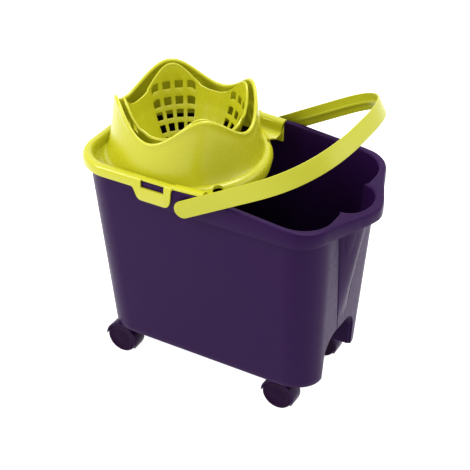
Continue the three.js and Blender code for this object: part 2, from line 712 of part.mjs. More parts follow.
function casterAxle(name) {
  const half = WHEEL_GAP + WHEEL_W - 2.1;
  return meshOf(`${name}_axle`, crossPin(TRAIL, WHEEL_R, -half, half, AXLE_R, 12), steel);
}

/** Disc wheel: dished outer face, blind bore for the axle on its inner face. */
function casterWheel(name, side) {
  const rim = WHEEL_R / Math.cos(Math.PI / WHEEL_SIDES);
  const inner = WHEEL_GAP;
  const outer = WHEEL_GAP + WHEEL_W;
  const bore = AXLE_R + 0.4;
  const profile = [[0, outer - 1.1], [14.5, outer - 1.1], [16, outer], [rim - 1, outer],
    [rim, outer - 1.4], [rim, inner + 1], [rim - 1, inner], [bore, inner], [bore, outer - 1.8],
    [0, outer - 1.8]];
  const geometry = turned(profile, WHEEL_SIDES).rotateZ(Math.PI / WHEEL_SIDES);
  geometry.rotateX(side > 0 ? -Math.PI / 2 : Math.PI / 2).translate(TRAIL, 0, WHEEL_R);
  return meshOf(`${name}_wheel_${side > 0 ? 'left' : 'right'}`, solid(geometry), darkPurple);
}

function caster({ name, x, y }) {
  const group = new THREE.Group();
  group.add(casterHood(name), casterStem(name), casterRing(name), casterSocket(name));
  group.add(casterAxle(name), casterWheel(name, -1), casterWheel(name, 1));
  group.position.set(x, y, 0);
  return group;
}

const bucket = new THREE.Group();
bucket.add(bucketTub(), wringerHousing(), wringerBasket(), bailHandle());
for (const place of casterPlaces()) bucket.add(caster(place));
bucket.position.x = -CENTRE_X;

const model = new THREE.Group();
model.add(bucket);
export default model;
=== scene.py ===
"""Looks of the mop bucket with wringer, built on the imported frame.

Shapes are in millimetres and turned into metres by MM. Materials, floor, lights and camera are in metres.
"""

import json
import math

import bmesh
import bpy
import numpy as np
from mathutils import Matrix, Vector
from mathutils.geometry import tessellate_polygon


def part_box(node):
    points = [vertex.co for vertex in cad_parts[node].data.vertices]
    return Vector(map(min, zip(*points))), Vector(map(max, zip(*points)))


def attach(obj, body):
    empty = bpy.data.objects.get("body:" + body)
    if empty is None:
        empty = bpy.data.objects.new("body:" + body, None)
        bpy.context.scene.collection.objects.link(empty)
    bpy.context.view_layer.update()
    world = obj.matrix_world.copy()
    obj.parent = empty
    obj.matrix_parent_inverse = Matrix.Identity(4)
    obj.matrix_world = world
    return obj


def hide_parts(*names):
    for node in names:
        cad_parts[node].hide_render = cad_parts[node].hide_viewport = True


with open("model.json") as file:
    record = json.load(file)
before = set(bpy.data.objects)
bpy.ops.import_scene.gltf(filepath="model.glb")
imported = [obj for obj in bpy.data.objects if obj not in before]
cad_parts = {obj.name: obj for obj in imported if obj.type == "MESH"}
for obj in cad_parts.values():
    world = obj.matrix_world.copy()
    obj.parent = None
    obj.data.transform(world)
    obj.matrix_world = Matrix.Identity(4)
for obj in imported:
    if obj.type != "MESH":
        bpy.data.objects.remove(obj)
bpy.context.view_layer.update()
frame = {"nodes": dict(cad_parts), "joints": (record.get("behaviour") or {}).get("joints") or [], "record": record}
MM = 0.001
SMOOTH_BELOW = 38


def box_mm(node):
    """Lowest and highest corner of a CAD node in millimetres."""
    return [np.array(corner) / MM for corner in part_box(node)]


TUB_LOW, TUB_HIGH = box_mm("bucket_tub")
HOUSING_LOW, HOUSING_HIGH = box_mm("wringer_housing")
BASKET_LOW, BASKET_HIGH = box_mm("wringer_basket")
BAIL_HIGH = box_mm("bail_handle")[1]
JOINTS = {joint["name"]: joint for joint in frame["joints"]}
TOWER_X = (BASKET_LOW[0] + BASKET_HIGH[0]) / 2

# bucket walls: outside at the datum height, draft per mm of height
WALL = 2.7
DATUM_Z = 284
SIDE_HALF = 105.7
END_LEFT = TUB_LOW[0] + 6.8
END_RIGHT = TUB_HIGH[0] - 36
CORNER_R = 46
SIDE_DRAFT = 0.1
LEFT_DRAFT = 0.061
RIGHT_DRAFT = 0.052
FOOT_Z = TUB_LOW[2]
FLOOR_UNDER = 68
FLOOR_TOP = 71
LOBE_START = 130
LOBE_GROWTH = 0.124
LOBE_HALF = 38
LOBE_NARROWING = 0.162
LOBE_GROOVE = 3
LOBE_EDGE = 3
ARCH_HALF = 42
ARCH_TOP = 107
ARCH_R = 28
ARCH_BACK = END_RIGHT - 65
WALL_UNDER_RIM = 305
WALL_AT_TOP = 318

# rim
RIM_TOP = TUB_HIGH[2]
RIM_FALL_FROM = 18.3
RIM_FALL = 0.09
RIM_HALF = 115.5
RIM_LEFT = TUB_LOW[0]
RIM_CORNER = 53
RIM_SHEET = 2.6
BAND_BOTTOM = 291
BAND_LEFT = -89.7
LEDGE_BOTTOM = 317

# wringer
CREST_WAVE = 17
CREST_MEAN = HOUSING_HIGH[2] - CREST_WAVE
SHEET = 2.6
DECK_Z = 312
BEAD_TOP = 326.5
BEAD_HALF = HOUSING_HIGH[1]
BEAD_LEFT = HOUSING_LOW[0]
BEAD_RIGHT = 4.3
BEAD_CORNER = 56
SKIRT_BOTTOM = 312.5
WELL_HALF = 104.9
WELL_LEFT = RIM_LEFT + 8.6
TAB_BOTTOM = HOUSING_LOW[2]
TAB_LEFT = -82.2
TAB_RIGHT = -45.7
TAB_WINDOW_LOW = 314.5
RECESS = [(-36.7, 3.2), (4.3, 6.0)]
NOTCH_Y = 71
NOTCH_R = 8.5
TOWER_SIDES = 288
HOOK_Z = 346
BASKET_BOTTOM = BASKET_LOW[2]
BASKET_CREST = BASKET_HIGH[2] - CREST_WAVE
BASKET_SHEET = 2.4
PETAL_SHARPNESS = 1.5

# basket windows: angles in degrees from the middle of a petal, rows as (middle height, size)
WINDOW_COLUMNS = (-19.5, -6.5, 6.5, 19.5)
COLUMN_STEPS = (-4.2, -1.4, 1.4, 4.2)
WINDOW_ROWS = [(298.5, 8), (312.5, 9), (328, 9.5), (344.5, 10.5), (366, 10.5)]
GRID_SPLIT = 332
GRID_TOP = WINDOW_ROWS[-1][0] + WINDOW_ROWS[-1][1] / 2
GRID_UNDER_LIP = 5.5

# handle
STUD_R = 4
PIVOT = np.array(JOINTS["handle_swing"]["pos_m"]) / MM
BAIL_ANGLE = math.radians(29.7)
BAIL_OUT = BAIL_HIGH[1]
BAIL_SHEET = 2.6
BAIL_HALF_BAND = 11.7
BAIL_REACH = 209.7
BAIL_STRAIGHT = 101.6
BAIL_POWER = 2.76

# casters
WHEEL_R = 22
WHEEL_W = 7
WHEEL_GAP = 4.7
HOOD_R = 24.3
HOOD_HALF_W = 12


# ---- mesh helpers ----

class Shells:
    """Collects closed shells for one piece and makes its object."""

    def __init__(self):
        self.verts = []
        self.faces = []

    def add(self, verts, faces):
        start = len(self.verts)
        self.verts.extend([tuple(v) for v in verts])
        self.faces.extend([tuple(start + i for i in face) for face in faces])

    def loft(self, rings, closed=False):
        """Skin over rings of equal length, with ends that are capped or joined to each other."""
        rings = [np.asarray(ring, float) for ring in rings]
        count = len(rings[0])
        faces = skin(0, count, len(rings), closed)
        if not closed:
            faces.append(tuple(range(count - 1, -1, -1)))
            faces.append(tuple((len(rings) - 1) * count + j for j in range(count)))
        self.add(np.concatenate(rings), faces)

    def plate(self, outline, holes, low, high, soft, place=None):
        """Flat plate with rounded edges from a plan outline with holes, between two heights."""
        levels = [(low, soft), (low + 0.3 * soft, 0.3 * soft), (low + soft, 0), (high - soft, 0),
                  (high - 0.3 * soft, 0.3 * soft), (high, soft)]
        verts, faces, under, over = [], [], [], []
        for index, loop in enumerate([outline, *holes]):
            loop = np.asarray(loop, float)
            inward = shrink_direction(loop) * (1 if index == 0 else -1)
            start, count = len(verts), len(loop)
            rings = [loop + inward * inset for _, inset in levels]
            for (z, _), ring in zip(levels, rings):
                verts.extend([(x, y, z) for x, y in ring])
            faces.extend(skin(start, count, len(levels)))
            under.append((start, rings[0]))
            over.append((start + (len(levels) - 1) * count, rings[-1]))
        faces.extend(cap(under) + cap(over))
        if place:
            verts = [place(*v) for v in verts]
        self.add(verts, faces)

    def object(self, name, material):
        mesh = bpy.data.meshes.new(name)
        mesh.from_pydata([[c * MM for c in v] for v in self.verts], [], self.faces)
        work = bmesh.new()
        work.from_mesh(mesh)
        bmesh.ops.remove_doubles(work, verts=work.verts, dist=1e-7)
        bmesh.ops.recalc_face_normals(work, faces=work.faces)
        work.to_mesh(mesh)
        work.free()
        piece = bpy.data.objects.new(name, mesh)
        bpy.context.scene.collection.objects.link(piece)
        mesh.materials.append(material)
        soften(piece)
        return piece


def skin(start, count, rings, closed=False):
    """Quads between rings of count vertices each, numbered one after the other from start."""
    faces = []
    for i in range(rings if closed else rings - 1):
        a, b = start + i * count, start + (i + 1) % rings * count
        for j in range(count):
            k = (j + 1) % count
            faces.append((a + j, a + k, b + k, b + j))
    return faces


def cap(ends):
    """Triangles over one end of a plate, from (first vertex, ring) for its outline and each hole."""
    ids = [first + i for first, ring in ends for i in range(len(ring))]
    loops = [[Vector((x, y, 0)) for x, y in ring] for _, ring in ends]
    return [tuple(ids[i] for i in triangle) for triangle in tessellate_polygon(loops)]


def soften(piece):
    """Smooth shading with hard edges where faces meet at more than SMOOTH_BELOW degrees."""
    piece.data.polygons.foreach_set("use_smooth", [True] * len(piece.data.polygons))
    piece.data.set_sharp_from_angle(angle=math.radians(SMOOTH_BELOW))


def shrink_direction(loop):
    """Unit directions that point into a plan loop at each of its points."""
    after = np.roll(loop, -1, axis=0) - loop
    before = loop - np.roll(loop, 1, axis=0)
    tangent = unit(after) + unit(before)
    area = np.sum(loop[:, 0] * np.roll(loop[:, 1], -1) - np.roll(loop[:, 0], -1) * loop[:, 1])
    turn = 1 if area > 0 else -1
    return turn * unit(np.stack([-tangent[:, 1], tangent[:, 0]], axis=1))


def unit(vectors):
    return vectors / np.maximum(np.linalg.norm(vectors, axis=-1, keepdims=True), 1e-9)


def arc(cx, cy, radius, start, end, count):
    """Points of an arc between two angles in degrees, ends included."""
    angles = np.radians(np.linspace(start, end, count))
    return np.stack([cx + radius * np.cos(angles), cy + radius * np.sin(angles)], axis=1)


def line(start, end, count):
    """Points along a straight line without its end."""
    t = np.linspace(0, 1, count, endpoint=False)[:, None]
    return np.array(start) + t * (np.array(end) - np.array(start))


def mirrored(half):
    """Closed loop from its y >= 0 half, whose first and last points lie on y = 0."""
    other = half[1:-1][::-1] * np.array([1, -1])
    return np.concatenate([half, other])


def ring_at(loop, z):
    """Gives a plan loop its heights: one number, or one for each point."""
    return np.column_stack([loop, np.broadcast_to(z, len(loop))])


def turned(profile, sides, axis="Z", centre=(0, 0, 0)):
    """Rings of a solid of revolution from (radius, height) pairs."""
    angles = np.linspace(0, 2 * math.pi, sides, endpoint=False)
    rings = []
    for radius, height in profile:
        a, b, c = radius * np.cos(angles), radius * np.sin(angles), np.full(sides, height)
        order = {"Z": (a, b, c), "Y": (a, c, b)}[axis]
        rings.append(np.column_stack(order) + np.array(centre))
    return rings


def boolean(piece, other, operation):
    """Joins or cuts a piece with a helper solid, which is then removed."""
    modifier = piece.modifiers.new("cut", "BOOLEAN")
    modifier.operation = operation
    modifier.object = other
    modifier.solver = "MANIFOLD"
    apply_modifiers(piece)
    bpy.data.objects.remove(other)


def apply_modifiers(piece):
    """Turns a piece's modifiers into its mesh."""
    graph = bpy.context.evaluated_depsgraph_get()
    mesh = bpy.data.meshes.new_from_object(piece.evaluated_get(graph))
    piece.modifiers.clear()
    piece.data = mesh


def join(piece, extra):
    """Adds the faces of a helper object to a piece."""
    work = bmesh.new()
    work.from_mesh(piece.data)
    work.from_mesh(extra.data)
    work.to_mesh(piece.data)
    work.free()
    bpy.data.objects.remove(extra)


def stands_for(piece, node):
    """The piece is shown in place of a CAD node and rides on its body."""
    body = next(name for name, nodes in frame["record"]["behaviour"]["bodies"].items() if node in nodes)
    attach(piece, body)
    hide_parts(node)


# ---- materials ----

# noise scales in cycles per metre
FLOW_SCALE = 9
RIPPLE_SCALE = 22
SCUFF_SCALE = 160
GRAIN_SCALE = 2600

# plastics with a lower IOR than this have a weaker highlight
DULL_IOR = 1.4


def noise(tree, scale, detail, coordinates):
    texture = tree.nodes.new("ShaderNodeTexNoise")
    texture.inputs["Scale"].default_value = scale
    texture.inputs["Detail"].default_value = detail
    tree.links.new(coordinates, texture.inputs["Vector"])
    return texture.outputs["Fac"]


def remap(tree, value, low, high, from_low=0.3, from_high=0.7):
    node = tree.nodes.new("ShaderNodeMapRange")
    node.inputs["From Min"].default_value = from_low
    node.inputs["From Max"].default_value = from_high
    node.inputs["To Min"].default_value = low
    node.inputs["To Max"].default_value = high
    tree.links.new(value, node.inputs["Value"])
    return node.outputs["Result"]


def blend_colour(tree, factor, first, second):
    """Mix of two colours, each a tuple or another node's output."""
    node = tree.nodes.new("ShaderNodeMix")
    node.data_type = "RGBA"
    for name, colour in (("A", first), ("B", second)):
        if isinstance(colour, tuple):
            node.inputs[name].default_value = (*colour, 1)
        else:
            tree.links.new(colour, node.inputs[name])
    tree.links.new(factor, node.inputs["Factor"])
    return node.outputs["Result"]


def bump(tree, height, strength, distance, under=None):
    """Bumped normal from a height, on top of another bumped normal if one is given."""
    node = tree.nodes.new("ShaderNodeBump")
    node.inputs["Strength"].default_value = strength
    node.inputs["Distance"].default_value = distance
    tree.links.new(height, node.inputs["Height"])
    if under is not None:
        tree.links.new(under, node.inputs["Normal"])
    return node.outputs["Normal"]


def new_material(name):
    """A material, its node tree, its shader and the coordinates of the object it is on."""
    material = bpy.data.materials.new(name)
    material.use_nodes = True
    tree = material.node_tree
    place = tree.nodes.new("ShaderNodeTexCoord").outputs["Object"]
    return material, tree, tree.nodes["Principled BSDF"], place


def moulded_plastic(name, colour, worn_and_highlight, roughness, grain, ior, painted_glow=0.0):
    """Moulded plastic: flow clouding, grain, scuffs, paler edges that are wear and a painted highlight, and an
    even painted glow in place of light through thin walls.
    """
    material, tree, shader, place = new_material(name)
    clouds = noise(tree, FLOW_SCALE, 2, place)
    edges = tree.nodes.new("ShaderNodeNewGeometry").outputs["Pointiness"]
    deeper = tuple(0.96 * c for c in colour)
    body = blend_colour(tree, remap(tree, clouds, 0, 1), deeper, colour)
    # edges paler by pointiness: partly wear, partly a painted highlight where edges catch the light
    rubbed_and_highlit = blend_colour(tree, remap(tree, edges, 0, 0.4, 0.56, 0.68), body, worn_and_highlight)
    tree.links.new(rubbed_and_highlit, shader.inputs["Base Color"])
    rough = tree.nodes.new("ShaderNodeMath")
    rough.operation = "ADD"
    tree.links.new(remap(tree, noise(tree, SCUFF_SCALE, 5, place), -0.04, 0.05), rough.inputs[0])
    tree.links.new(remap(tree, clouds, roughness - 0.03, roughness + 0.03), rough.inputs[1])
    tree.links.new(rough.outputs[0], shader.inputs["Roughness"])
    shader.inputs["IOR"].default_value = ior
    shader.inputs["Specular IOR Level"].default_value = 0.3 if ior < DULL_IOR else 0.5
    # emission is a painted glow: the plastic lights itself evenly, standing in for light through thin walls
    shader.inputs["Emission Color"].default_value = (*colour, 1)
    shader.inputs["Emission Strength"].default_value = painted_glow
    ripple = bump(tree, noise(tree, RIPPLE_SCALE, 1, place), 0.12, 0.0012)
    fine = bump(tree, noise(tree, GRAIN_SCALE, 2, place), grain, 0.00012, ripple)
    tree.links.new(fine, shader.inputs["Normal"])
    return material


def plated_steel(name):
    """Zinc-plated steel with fine turning lines."""
    material, tree, shader, place = new_material(name)
    shader.inputs["Metallic"].default_value = 1
    spots = noise(tree, 500, 4, place)
    zinc = blend_colour(tree, spots, (0.42, 0.43, 0.44), (0.66, 0.67, 0.68))
    tree.links.new(zinc, shader.inputs["Base Color"])
    tree.links.new(remap(tree, spots, 0.25, 0.45), shader.inputs["Roughness"])
    lines = tree.nodes.new("ShaderNodeTexWave")
    lines.bands_direction = "Z"
    lines.inputs["Scale"].default_value = 900
    tree.links.new(place, lines.inputs["Vector"])
    tree.links.new(bump(tree, lines.outputs["Fac"], 0.2, 0.0001), shader.inputs["Normal"])
    return material


# the second colour of each plastic is its paler edge, wear and a painted highlight; the last number of the lime
# ones is a painted glow
PURPLE = moulded_plastic("bucket_purple", (0.023, 0.0062, 0.044), (0.12, 0.085, 0.19), 0.34, 0.35, 1.24)
LIME = moulded_plastic("wringer_lime", (0.335, 0.328, 0.014), (0.56, 0.55, 0.10), 0.25, 0.06, 1.49, 0.2)
HANDLE_LIME = moulded_plastic("handle_lime", (0.30, 0.30, 0.014), (0.56, 0.56, 0.14), 0.32, 0.1, 1.45, 0.12)
HOOD_PURPLE = moulded_plastic("hood_purple", (0.018, 0.004, 0.032), (0.08, 0.05, 0.12), 0.32, 0.3, 1.3)
WHEEL_PURPLE = moulded_plastic("wheel_purple", (0.014, 0.0018, 0.021), (0.03, 0.012, 0.045), 0.46, 0.6, 1.24)
SOCKET_PURPLE = moulded_plastic("socket_purple", (0.02, 0.006, 0.032), (0.06, 0.03, 0.09), 0.5, 0.4, 1.3)
STEEL = plated_steel("plated_steel")


# ---- bucket ----

SIDE_STOPS = np.concatenate([np.linspace(-112, BAND_LEFT - 1.2, 6), [BAND_LEFT - 0.6, BAND_LEFT + 0.6],
                             np.linspace(BAND_LEFT + 1.4, 110, 30)])
BACK_POINTS = 6
BACK_CORNER_POINTS = 20
CORNER_POINTS = 22
EDGE_POINTS = 8
LOBE_POINTS = 18


def back_half(left, half, radius):
    """Half plan from the middle of the wringer end, round its corner and along the side."""
    return np.concatenate([
        line((left, 0), (left, half - radius), BACK_POINTS),
        arc(left + radius, half - radius, radius, 180, 90, BACK_CORNER_POINTS),
        np.column_stack([SIDE_STOPS, np.full(len(SIDE_STOPS), half)]),
    ])


def tub_half(inset, crease=0.0):
    """Half plan of the wall at the datum height; crease sharpens the lobe's crest."""
    half, radius = SIDE_HALF - inset, CORNER_R - inset
    left, right = END_LEFT + inset, END_RIGHT - inset
    lobe = LOBE_HALF - inset
    seat = right - LOBE_GROOVE
    reach = LOBE_GROWTH * (DATUM_Z - LOBE_START) + LOBE_GROOVE
    t = np.radians(np.linspace(90, 0, LOBE_POINTS))
    round_x = np.cos(t)
    sharp_x = 1 - np.sqrt(np.sin(t) ** 2.6 + 0.004)
    bulge = np.clip((1 - crease) * round_x + crease * np.clip(sharp_x, 0, 1), 0, 1)
    return np.concatenate([
        back_half(left, half, radius),
        arc(right - radius, half - radius, radius, 90, 0, CORNER_POINTS),
        line((right, half - radius), (right, lobe + LOBE_EDGE + 1.5), 5)[1:],
        [(right, lobe + LOBE_EDGE + 1.5), (right - 0.25, lobe + LOBE_EDGE), (right - 1.1, lobe + 2),
         (right - 2.3, lobe + 0.8)],
        np.column_stack([seat + reach * bulge, lobe * np.sin(t)]),
    ])


def tub_loop(inset, z, crease=0.0):
    """Closed plan of the wall at a height (a number), with its draft and its spout lobe."""
    half_plan = tub_half(inset, crease)
    x, y = half_plan[:, 0].copy(), half_plan[:, 1].copy()
    left, right = END_LEFT + inset, END_RIGHT - inset
    lobe = LOBE_HALF - inset
    rise = z - DATUM_Z
    new_left, new_right = left - LEFT_DRAFT * rise, right + RIGHT_DRAFT * rise
    on_lobe = (x > right - LOBE_GROOVE - 0.01) & (y < lobe + LOBE_EDGE + 0.01)
    growth = max(0.0, z - LOBE_START) / (DATUM_Z - LOBE_START)
    beyond = x - right
    lobe_x = new_right + np.where(beyond > 0, beyond * growth, beyond)
    lobe_y = y * (lobe + LOBE_NARROWING * min(rise, 6)) / lobe
    wall_x = new_left + (x - left) * (new_right - new_left) / (right - left)
    wall_y = y * (SIDE_HALF - inset + SIDE_DRAFT * rise) / (SIDE_HALF - inset)
    return mirrored(np.column_stack([np.where(on_lobe, lobe_x, wall_x), np.where(on_lobe, lobe_y, wall_y)]))


def rim_bow(inset):
    """Bowed spout end of the rim as a dense curve from the side to the middle."""
    stops = np.array([(118.3, 115.5), (136.3, 113), (150.3, 104.5), (159.3, 92), (165.3, 76), (173.3, 56),
                      (182.3, 36), (190.8, 16), (194.3, 0), (190.8, -16), (182.3, -36)])
    chord = np.concatenate([[0], np.cumsum(np.linalg.norm(np.diff(stops, axis=0), axis=1))])
    at = np.linspace(0, chord[8], 300)
    curve = np.column_stack([catmull(chord, stops[:, 0], at), catmull(chord, stops[:, 1], at)])
    half = RIM_HALF - inset
    curve = np.column_stack([curve[:, 0] - inset, curve[:, 1] * half / RIM_HALF])
    lead = np.column_stack([np.linspace(100, 118, 30), np.full(30, half)])
    return np.concatenate([lead, curve])


def catmull(keys, values, at):
    """Smooth interpolation through values at rising keys."""
    slopes = np.gradient(values, keys)
    i = np.clip(np.searchsorted(keys, at) - 1, 0, len(keys) - 2)
    span = keys[i + 1] - keys[i]
    t = (at - keys[i]) / span
    return ((2 * t**3 - 3 * t**2 + 1) * values[i] + (t**3 - 2 * t**2 + t) * span * slopes[i]
            + (3 * t**2 - 2 * t**3) * values[i + 1] + (t**3 - t**2) * span * slopes[i + 1])


def rim_end(inset):
    """Spout end of the rim's half plan, with a point for each of the wall's points there."""
    bow = rim_bow(inset)
    wall = tub_half(0)[-(CORNER_POINTS + EDGE_POINTS + LOBE_POINTS):]
    centre = np.array([END_RIGHT - CORNER_R, SIDE_HALF - CORNER_R])
    bow_angle = np.arctan2(bow[:, 1] - centre[1], bow[:, 0] - centre[0])
    points = []
    for x, y in wall[:CORNER_POINTS]:
        wanted = math.atan2(y - centre[1], x - centre[0])
        points.append([np.interp(-wanted, -bow_angle, bow[:, k]) for k in (0, 1)])
    corner_wall, corner_rim = wall[CORNER_POINTS - 1][1], points[-1][1]
    for _, y in wall[CORNER_POINTS:]:
        level = y / corner_wall * corner_rim
        points.append([np.interp(-level, -bow[:, 1], bow[:, 0]), level])
    points[-1][1] = 0
    return points


def rim_loop(inset):
    """Closed plan of the rim whose points pair up with those of the wall."""
    back = back_half(RIM_LEFT + inset, RIM_HALF - inset, RIM_CORNER - inset)
    return mirrored(np.concatenate([back, rim_end(inset)]))


def rim_height(loop):
    """Top of the rim over each point of a plan loop."""
    return RIM_TOP - RIM_FALL * np.maximum(0, loop[:, 0] - RIM_FALL_FROM)


def band_bottom(loop):
    """Lower edge of the rim's band: a thin ledge under the wringer, a deep band elsewhere."""
    return np.where(loop[:, 0] < BAND_LEFT, LEDGE_BOTTOM, BAND_BOTTOM)


def wall_rings(rows):
    """Rings of the wall from (inset, height) pairs."""
    return [ring_at(tub_loop(inset, z), z) for inset, z in rows]


def lobe_rings():
    """Outer rings of the wall, where the spout lobe has its sharp crest."""
    rings = []
    for z in [56, 70, 90, 110, 122, 128, 132, 138, 150, 165, 180, 200, 220, 240, 260, 275, 286]:
        crease = 0.75 * np.clip((z - LOBE_START) / 15, 0, 1) * np.clip((300 - z) / 30, 0, 1)
        rings.append(ring_at(tub_loop(0, z, crease), z))
    return rings


def below_top(loop, down):
    """Ring that runs at a set depth below the rim's sloping top."""
    return ring_at(loop, rim_height(loop) - down)


def rim_rings():
    """Rings out under the rim, down and round its band, and over its top to the inside."""
    fillet = [(0, 5.5), (-0.4, 3.6), (-1.4, 2.8)]
    underside = [(RIM_SHEET + 1.2, 2.8), (RIM_SHEET + 0.2, 3.2), (RIM_SHEET, 4.2)]
    band_edge = [(RIM_SHEET, 0.9), (RIM_SHEET - 0.3, 0.25), (RIM_SHEET / 2, 0), (0.3, 0.25), (0, 0.9)]
    outer_edge = [(0, 4.4), (0.1, 3), (0.5, 1.7), (1.2, 0.7), (2.2, 0.15), (3.2, 0)]
    inner_edge = [(WALL - 3.2, 0), (WALL - 2.2, 0.1), (WALL - 1.1, 0.55), (WALL - 0.35, 1.4), (WALL, 2.8)]
    rings = [below_top(tub_loop(inset, WALL_UNDER_RIM), down) for inset, down in fillet]
    rings += [below_top(rim_loop(inset), down) for inset, down in underside]
    for inset, up in band_edge:
        loop = rim_loop(inset)
        rings.append(ring_at(loop, band_bottom(loop) + up))
    rings += [below_top(rim_loop(inset), down) for inset, down in outer_edge]
    rings += [below_top(tub_loop(inset, WALL_AT_TOP), down) for inset, down in inner_edge]
    return rings


def bucket_rings():
    """Rings of the whole bucket from under its floor, round the foot and rim, and down to its floor."""
    foot = [(WALL + 4, FLOOR_UNDER), (WALL + 1, FLOOR_UNDER - 0.3), (WALL, FLOOR_UNDER - 2),
            (WALL, FOOT_Z + 1.1), (WALL - 0.4, FOOT_Z + 0.3), (WALL / 2, FOOT_Z), (0.5, FOOT_Z + 0.3),
            (0, FOOT_Z + 1.3)]
    inside = [(WALL, z) for z in [300, 286, 270, 250, 230, 210, 190, 170, 150, 138, 130, 120, 100, 85, 76]]
    floor_edge = [(WALL + 0.3, 3.2), (WALL + 1.2, 1.4), (WALL + 2.6, 0.4), (WALL + 4.5, 0)]
    bottom = [(inset, FLOOR_TOP + up) for inset, up in floor_edge]
    return wall_rings(foot) + lobe_rings() + rim_rings() + wall_rings(inside + bottom)


def arch_tunnel(grow, foot, back, end_inset, flare):
    """Solid of the hand-hold arch from its back wall to the bucket's end wall."""
    half, top, radius = ARCH_HALF + grow, ARCH_TOP + grow, ARCH_R + grow
    section = np.concatenate([
        [(-half, foot)], arc(radius - half, top - radius, radius, 180, 90, 14),
        arc(half - radius, top - radius, radius, 90, 0, 14), [(half, foot)],
    ])
    wall = END_RIGHT + RIGHT_DRAFT * (section[:, 1] - DATUM_Z) - end_inset
    middle = np.array([0, FOOT_Z])
    rings = [np.column_stack([np.full(len(section), back), section])]
    for short, wide in flare:
        spread = section + unit(section - middle) * wide
        rings.append(np.column_stack([wall - short, spread]))
    shell = Shells()
    shell.loft(rings)
    return shell.object("helper_arch", PURPLE)


def bucket():
    """Bucket with its arch, pivot bosses, catches and caster posts."""
    shell = Shells()
    shell.loft(bucket_rings())
    piece = shell.object("bucket_shell", PURPLE)
    boolean(piece, arch_tunnel(WALL, FOOT_Z + 0.2, ARCH_BACK - WALL, 1, [(0, 0)]), "UNION")
    flare = [(5.5, 0), (4.2, 0.25), (3.3, 0.9), (2.7, 2.2), (-30, 2.2)]
    boolean(piece, arch_tunnel(0, FOOT_Z - 12, ARCH_BACK, 0, flare), "DIFFERENCE")
    details = Shells()
    for side in (-1, 1):
        details.loft(turned([(6, side * 104), (9, side * 104), (9, side * 118.6), (8.5, side * 119.4),
                             (8, side * 119.7), (STUD_R + 0.8, side * 119.7), (STUD_R + 0.4, side * 119.3),
                             (STUD_R + 0.4, side * 106), (6, side * 105)], 48, "Y", (PIVOT[0], 0, PIVOT[2])),
                     closed=True)
        rounded_bar(details, (TAB_LEFT + 3, side * (RIM_HALF - 0.5), LEDGE_BOTTOM + 0.2),
                    (TAB_RIGHT - 7, side * (RIM_HALF + 0.35), RIM_TOP - 2))
    for place in caster_places():
        x, y = place["x"], place["y"]
        details.loft(turned([(6.95, FOOT_Z), (8.4, FOOT_Z), (8.8, FOOT_Z + 0.5), (8.9, FOOT_Z + 2),
                             (9.4, FLOOR_UNDER - 2), (11, FLOOR_UNDER + 0.5), (6.95, FLOOR_UNDER + 0.5)],
                            40, "Z", (x, y, 0)), closed=True)
    join(piece, details.object("helper_details", PURPLE))
    soften(piece)
    stands_for(piece, "bucket_tub")


def rounded_bar(shell, low, high, soft=0.4):
    """Small bar with rounded edges between two corners given in any order."""
    low, high = np.minimum(low, high), np.maximum(low, high)
    outline = [(low[0], low[2]), (high[0], low[2]), (high[0], high[2]), (low[0], high[2])]
    soft = min(soft, 0.45 * (high[1] - low[1]))
    shell.plate(outline, [], low[1], high[1], soft, place=lambda x, z, y: (x, y, z))


# ---- wringer ----

def tower_radius(z):
    """Outer radius of the tower at a height."""
    keys = [309, 312, 318, 325, 335, 350, 372, 398]
    return np.interp(z, keys, [104.4, 104.2, 102.5, 100.5, 98.5, 96, 93.5, 91])


def crest(angle, mean, sharpness=1.0):
    """Wavy top edge: four peaks on the diagonals, narrowed by sharpness."""
    return mean + CREST_WAVE * (2 * ((1 - np.cos(4 * angle)) / 2) ** sharpness - 1)


def well_inset(x, y):
    """How far a point lies inside the wringer's well outline, negative outside it."""
    radius = CORNER_R - 2
    across = WELL_HALF - np.abs(y)
    along = x - WELL_LEFT
    corner = radius - np.hypot(np.maximum(0, radius - along), np.maximum(0, radius - across))
    return np.where((along < radius) & (across < radius), corner, np.minimum(across, along))


def tower_rings():
    """Rings of the tower from its foot, up the outside, over the lip and down inside."""
    angle = np.linspace(0, 2 * math.pi, TOWER_SIDES, endpoint=False)
    cos, sin = np.cos(angle), np.sin(angle)
    foot = tower_radius(314)
    outside = well_inset(TOWER_X + (foot + 0.5) * cos, foot * sin) < 0
    base = np.where(outside, RIM_TOP + 0.6, DECK_Z - 0.8)
    top = crest(angle, CREST_MEAN)

    def ring(radius, z):
        return np.column_stack([TOWER_X + radius * cos, radius * sin, z])

    rings = [ring(tower_radius(base) - SHEET, base - 0.4)]
    for out, up in [(3.2, 0.2), (3.2, 0.9), (1.6, 1.5), (0.6, 2.6), (0.15, 4.2)]:
        out = np.where(outside, min(out, 0.5), out)
        rings.append(ring(tower_radius(base + up) + out, base + up))
    for share in [0.06, 0.13, 0.2, 0.28, 0.38, 0.5, 0.62, 0.74, 0.86]:
        z = base + 5 + share * (top - 6 - base - 5)
        rings.append(ring(tower_radius(z), z))
    lip = tower_radius(top)
    for inward, down in [(0, 5.5), (-0.35, 3.9), (-0.4, 2.6), (0, 1.3), (0.9, 0.35), (2.1, 0), (3.3, 0.35),
                         (4.2, 1.3), (4.6, 2.6), (4.4, 4.2), (3.4, 6.2), (2.7, 8)]:
        rings.append(ring(lip - inward, top - down))
    for share in [0.86, 0.7, 0.5, 0.3, 0.12]:
        z = base + 3 + share * (top - 8 - base - 3)
        rings.append(ring(tower_radius(z) - SHEET, z))
    return rings


